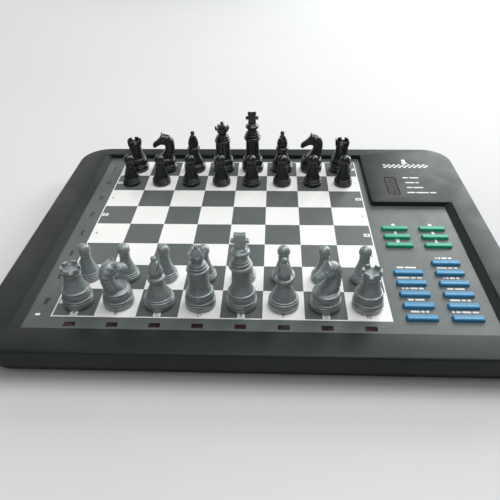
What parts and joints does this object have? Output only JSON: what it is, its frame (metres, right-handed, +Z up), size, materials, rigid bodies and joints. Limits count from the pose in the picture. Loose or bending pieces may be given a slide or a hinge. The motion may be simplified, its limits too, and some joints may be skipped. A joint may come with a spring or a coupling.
{
  "type": "electronic chess computer",
  "caption": "Flat tabletop chess computer with a sunk pressure-sensor board, bar keys, lamp windows, a raised control pod and a full set of chessmen in the start position.",
  "frame": {"origin": "centre of the footprint at the surface it stands on", "axes": "+X towards the h-file and the keypad, +Y from the player's edge towards rank 8, +Z up"},
  "size_m": [0.39, 0.305, 0.0846],
  "materials": {
    "case_black": "fine spark-eroded texture, satin black",
    "lower_black": "matt black moulded",
    "door_black": "matt black moulded, ribbed",
    "plate_print": "satin screen-printed sheet, grey with white squares",
    "pcb": "solder resist",
    "mat_rubber": "matt silicone",
    "lens_red": "clear dark red",
    "window_smoke": "smoked, polished",
    "foot_rubber": "matt",
    "switch_black": "satin",
    "key_green": "satin moulded green",
    "key_blue": "satin moulded blue",
    "men_silver": "silver-grey pearlescent, semi-gloss",
    "men_black": "deep black, semi-gloss"
  },
  "bodies": {
    "console": {"upper_case": "case_black", "lower_case": "lower_black", "board_plate": "plate_print", "main_board": "pcb", "key_mat": "mat_rubber", "led_light_guide": "lens_red", "status_window": "window_smoke", "foot_strip_left": "foot_rubber", "foot_strip_right": "foot_rubber"},
    "green_key_1": {"green_key_1": "key_green"},
    "green_key_2": {"green_key_2": "key_green"},
    "green_key_3": {"green_key_3": "key_green"},
    "green_key_4": {"green_key_4": "key_green"},
    "green_key_5": {"green_key_5": "key_green"},
    "green_key_6": {"green_key_6": "key_green"},
    "blue_key_01": {"blue_key_01": "key_blue"},
    "blue_key_02": {"blue_key_02": "key_blue"},
    "blue_key_03": {"blue_key_03": "key_blue"},
    "blue_key_04": {"blue_key_04": "key_blue"},
    "blue_key_05": {"blue_key_05": "key_blue"},
    "blue_key_06": {"blue_key_06": "key_blue"},
    "blue_key_07": {"blue_key_07": "key_blue"},
    "blue_key_08": {"blue_key_08": "key_blue"},
    "blue_key_09": {"blue_key_09": "key_blue"},
    "blue_key_10": {"blue_key_10": "key_blue"},
    "blue_key_11": {"blue_key_11": "key_blue"},
    "battery_door": {"battery_door": "door_black"},
    "power_switch": {"power_switch": "switch_black"},
    "white_rook_a": {"white_rook_a": "men_silver"},
    "white_knight_b": {"white_knight_b": "men_silver"},
    "white_bishop_c": {"white_bishop_c": "men_silver"},
    "white_queen": {"white_queen": "men_silver"},
    "white_king": {"white_king": "men_silver"},
    "white_bishop_f": {"white_bishop_f": "men_silver"},
    "white_knight_g": {"white_knight_g": "men_silver"},
    "white_rook_h": {"white_rook_h": "men_silver"},
    "white_pawn_a": {"white_pawn_a": "men_silver"},
    "white_pawn_b": {"white_pawn_b": "men_silver"},
    "white_pawn_c": {"white_pawn_c": "men_silver"},
    "white_pawn_d": {"white_pawn_d": "men_silver"},
    "white_pawn_e": {"white_pawn_e": "men_silver"},
    "white_pawn_f": {"white_pawn_f": "men_silver"},
    "white_pawn_g": {"white_pawn_g": "men_silver"},
    "white_pawn_h": {"white_pawn_h": "men_silver"},
    "black_rook_a": {"black_rook_a": "men_black"},
    "black_knight_b": {"black_knight_b": "men_black"},
    "black_bishop_c": {"black_bishop_c": "men_black"},
    "black_queen": {"black_queen": "men_black"},
    "black_king": {"black_king": "men_black"},
    "black_bishop_f": {"black_bishop_f": "men_black"},
    "black_knight_g": {"black_knight_g": "men_black"},
    "black_rook_h": {"black_rook_h": "men_black"},
    "black_pawn_a": {"black_pawn_a": "men_black"},
    "black_pawn_b": {"black_pawn_b": "men_black"},
    "black_pawn_c": {"black_pawn_c": "men_black"},
    "black_pawn_d": {"black_pawn_d": "men_black"},
    "black_pawn_e": {"black_pawn_e": "men_black"},
    "black_pawn_f": {"black_pawn_f": "men_black"},
    "black_pawn_g": {"black_pawn_g": "men_black"},
    "black_pawn_h": {"black_pawn_h": "men_black"}
  },
  "joints": [
    {"name": "green_key_1_press", "type": "slide", "parent": "console", "child": "green_key_1", "axis": [0, 0, -1], "range_m": [0, 0.0015], "stiffness_N_per_m": 400, "springref_m": -0.001},
    {"name": "green_key_2_press", "type": "slide", "parent": "console", "child": "green_key_2", "axis": [0, 0, -1], "range_m": [0, 0.0015], "stiffness_N_per_m": 400, "springref_m": -0.001},
    {"name": "green_key_3_press", "type": "slide", "parent": "console", "child": "green_key_3", "axis": [0, 0, -1], "range_m": [0, 0.0015], "stiffness_N_per_m": 400, "springref_m": -0.001},
    {"name": "green_key_4_press", "type": "slide", "parent": "console", "child": "green_key_4", "axis": [0, 0, -1], "range_m": [0, 0.0015], "stiffness_N_per_m": 400, "springref_m": -0.001},
    {"name": "green_key_5_press", "type": "slide", "parent": "console", "child": "green_key_5", "axis": [0, 0, -1], "range_m": [0, 0.0015], "stiffness_N_per_m": 400, "springref_m": -0.001},
    {"name": "green_key_6_press", "type": "slide", "parent": "console", "child": "green_key_6", "axis": [0, 0, -1], "range_m": [0, 0.0015], "stiffness_N_per_m": 400, "springref_m": -0.001},
    {"name": "blue_key_01_press", "type": "slide", "parent": "console", "child": "blue_key_01", "axis": [0, 0, -1], "range_m": [0, 0.0015], "stiffness_N_per_m": 400, "springref_m": -0.001},
    {"name": "blue_key_02_press", "type": "slide", "parent": "console", "child": "blue_key_02", "axis": [0, 0, -1], "range_m": [0, 0.0015], "stiffness_N_per_m": 400, "springref_m": -0.001},
    {"name": "blue_key_03_press", "type": "slide", "parent": "console", "child": "blue_key_03", "axis": [0, 0, -1], "range_m": [0, 0.0015], "stiffness_N_per_m": 400, "springref_m": -0.001},
    {"name": "blue_key_04_press", "type": "slide", "parent": "console", "child": "blue_key_04", "axis": [0, 0, -1], "range_m": [0, 0.0015], "stiffness_N_per_m": 400, "springref_m": -0.001},
    {"name": "blue_key_05_press", "type": "slide", "parent": "console", "child": "blue_key_05", "axis": [0, 0, -1], "range_m": [0, 0.0015], "stiffness_N_per_m": 400, "springref_m": -0.001},
    {"name": "blue_key_06_press", "type": "slide", "parent": "console", "child": "blue_key_06", "axis": [0, 0, -1], "range_m": [0, 0.0015], "stiffness_N_per_m": 400, "springref_m": -0.001},
    {"name": "blue_key_07_press", "type": "slide", "parent": "console", "child": "blue_key_07", "axis": [0, 0, -1], "range_m": [0, 0.0015], "stiffness_N_per_m": 400, "springref_m": -0.001},
    {"name": "blue_key_08_press", "type": "slide", "parent": "console", "child": "blue_key_08", "axis": [0, 0, -1], "range_m": [0, 0.0015], "stiffness_N_per_m": 400, "springref_m": -0.001},
    {"name": "blue_key_09_press", "type": "slide", "parent": "console", "child": "blue_key_09", "axis": [0, 0, -1], "range_m": [0, 0.0015], "stiffness_N_per_m": 400, "springref_m": -0.001},
    {"name": "blue_key_10_press", "type": "slide", "parent": "console", "child": "blue_key_10", "axis": [0, 0, -1], "range_m": [0, 0.0015], "stiffness_N_per_m": 400, "springref_m": -0.001},
    {"name": "blue_key_11_press", "type": "slide", "parent": "console", "child": "blue_key_11", "axis": [0, 0, -1], "range_m": [0, 0.0015], "stiffness_N_per_m": 400, "springref_m": -0.001},
    {"name": "battery_door_slide", "type": "slide", "parent": "console", "child": "battery_door", "axis": [0, 1, 0], "range_m": [0, 0.0565]},
    {"name": "power_switch_slide", "type": "slide", "parent": "console", "child": "power_switch", "axis": [1, 0, 0], "range_m": [0, 0.004]},
    {"name": "white_rook_a_lift", "type": "slide", "parent": "console", "child": "white_rook_a", "axis": [0, 0, 1], "range_m": [0, 0.08]},
    {"name": "white_knight_b_lift", "type": "slide", "parent": "console", "child": "white_knight_b", "axis": [0, 0, 1], "range_m": [0, 0.08]},
    {"name": "white_bishop_c_lift", "type": "slide", "parent": "console", "child": "white_bishop_c", "axis": [0, 0, 1], "range_m": [0, 0.08]},
    {"name": "white_queen_lift", "type": "slide", "parent": "console", "child": "white_queen", "axis": [0, 0, 1], "range_m": [0, 0.08]},
    {"name": "white_king_lift", "type": "slide", "parent": "console", "child": "white_king", "axis": [0, 0, 1], "range_m": [0, 0.08]},
    {"name": "white_bishop_f_lift", "type": "slide", "parent": "console", "child": "white_bishop_f", "axis": [0, 0, 1], "range_m": [0, 0.08]},
    {"name": "white_knight_g_lift", "type": "slide", "parent": "console", "child": "white_knight_g", "axis": [0, 0, 1], "range_m": [0, 0.08]},
    {"name": "white_rook_h_lift", "type": "slide", "parent": "console", "child": "white_rook_h", "axis": [0, 0, 1], "range_m": [0, 0.08]},
    {"name": "white_pawn_a_lift", "type": "slide", "parent": "console", "child": "white_pawn_a", "axis": [0, 0, 1], "range_m": [0, 0.08]},
    {"name": "white_pawn_b_lift", "type": "slide", "parent": "console", "child": "white_pawn_b", "axis": [0, 0, 1], "range_m": [0, 0.08]},
    {"name": "white_pawn_c_lift", "type": "slide", "parent": "console", "child": "white_pawn_c", "axis": [0, 0, 1], "range_m": [0, 0.08]},
    {"name": "white_pawn_d_lift", "type": "slide", "parent": "console", "child": "white_pawn_d", "axis": [0, 0, 1], "range_m": [0, 0.08]},
    {"name": "white_pawn_e_lift", "type": "slide", "parent": "console", "child": "white_pawn_e", "axis": [0, 0, 1], "range_m": [0, 0.08]},
    {"name": "white_pawn_f_lift", "type": "slide", "parent": "console", "child": "white_pawn_f", "axis": [0, 0, 1], "range_m": [0, 0.08]},
    {"name": "white_pawn_g_lift", "type": "slide", "parent": "console", "child": "white_pawn_g", "axis": [0, 0, 1], "range_m": [0, 0.08]},
    {"name": "white_pawn_h_lift", "type": "slide", "parent": "console", "child": "white_pawn_h", "axis": [0, 0, 1], "range_m": [0, 0.08]},
    {"name": "black_rook_a_lift", "type": "slide", "parent": "console", "child": "black_rook_a", "axis": [0, 0, 1], "range_m": [0, 0.08]},
    {"name": "black_knight_b_lift", "type": "slide", "parent": "console", "child": "black_knight_b", "axis": [0, 0, 1], "range_m": [0, 0.08]},
    {"name": "black_bishop_c_lift", "type": "slide", "parent": "console", "child": "black_bishop_c", "axis": [0, 0, 1], "range_m": [0, 0.08]},
    {"name": "black_queen_lift", "type": "slide", "parent": "console", "child": "black_queen", "axis": [0, 0, 1], "range_m": [0, 0.08]},
    {"name": "black_king_lift", "type": "slide", "parent": "console", "child": "black_king", "axis": [0, 0, 1], "range_m": [0, 0.08]},
    {"name": "black_bishop_f_lift", "type": "slide", "parent": "console", "child": "black_bishop_f", "axis": [0, 0, 1], "range_m": [0, 0.08]},
    {"name": "black_knight_g_lift", "type": "slide", "parent": "console", "child": "black_knight_g", "axis": [0, 0, 1], "range_m": [0, 0.08]},
    {"name": "black_rook_h_lift", "type": "slide", "parent": "console", "child": "black_rook_h", "axis": [0, 0, 1], "range_m": [0, 0.08]},
    {"name": "black_pawn_a_lift", "type": "slide", "parent": "console", "child": "black_pawn_a", "axis": [0, 0, 1], "range_m": [0, 0.08]},
    {"name": "black_pawn_b_lift", "type": "slide", "parent": "console", "child": "black_pawn_b", "axis": [0, 0, 1], "range_m": [0, 0.08]},
    {"name": "black_pawn_c_lift", "type": "slide", "parent": "console", "child": "black_pawn_c", "axis": [0, 0, 1], "range_m": [0, 0.08]},
    {"name": "black_pawn_d_lift", "type": "slide", "parent": "console", "child": "black_pawn_d", "axis": [0, 0, 1], "range_m": [0, 0.08]},
    {"name": "black_pawn_e_lift", "type": "slide", "parent": "console", "child": "black_pawn_e", "axis": [0, 0, 1], "range_m": [0, 0.08]},
    {"name": "black_pawn_f_lift", "type": "slide", "parent": "console", "child": "black_pawn_f", "axis": [0, 0, 1], "range_m": [0, 0.08]},
    {"name": "black_pawn_g_lift", "type": "slide", "parent": "console", "child": "black_pawn_g", "axis": [0, 0, 1], "range_m": [0, 0.08]},
    {"name": "black_pawn_h_lift", "type": "slide", "parent": "console", "child": "black_pawn_h", "axis": [0, 0, 1], "range_m": [0, 0.08]}
  ]
}
